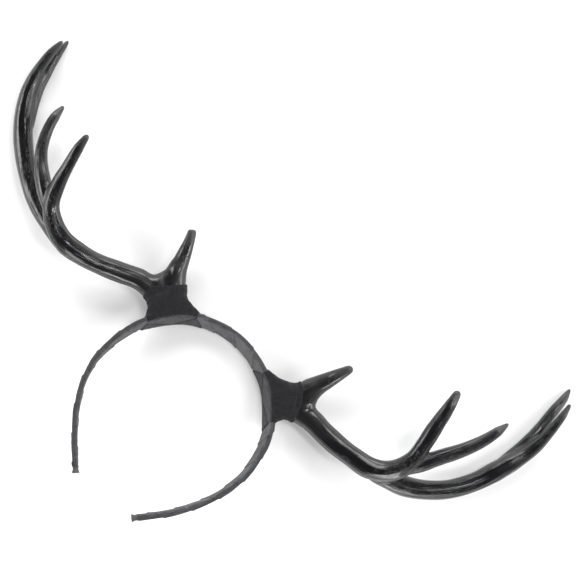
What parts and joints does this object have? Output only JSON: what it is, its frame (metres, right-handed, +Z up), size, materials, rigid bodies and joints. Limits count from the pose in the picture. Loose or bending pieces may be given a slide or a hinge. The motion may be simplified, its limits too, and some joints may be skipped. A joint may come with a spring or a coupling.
{
  "type": "antler headband",
  "caption": "Headband with a hoop wound in cloth tape and two forked, glossy black antlers bound to it with black cloth, lying flat with the ends of the hoop raised",
  "frame": {"origin": "on the table, under the middle of the bounding box", "axes": "+X along the antlers from the left one to the right one, +Y from the hoop's ends towards its crown, +Z up from the table"},
  "size_m": [0.4296, 0.2526, 0.0489],
  "materials": {
    "tape": "matt woven cloth tape, dark grey",
    "antler": "glossy black with fine lengthwise ridges and pits",
    "binding": "matt black cloth in wound turns"
  },
  "bodies": {
    "root": {"band": "tape", "left_tail": "tape", "right_tail": "tape", "left_antler": "antler", "right_antler": "antler", "left_wrap": "binding", "right_wrap": "binding"}
  },
  "joints": []
}
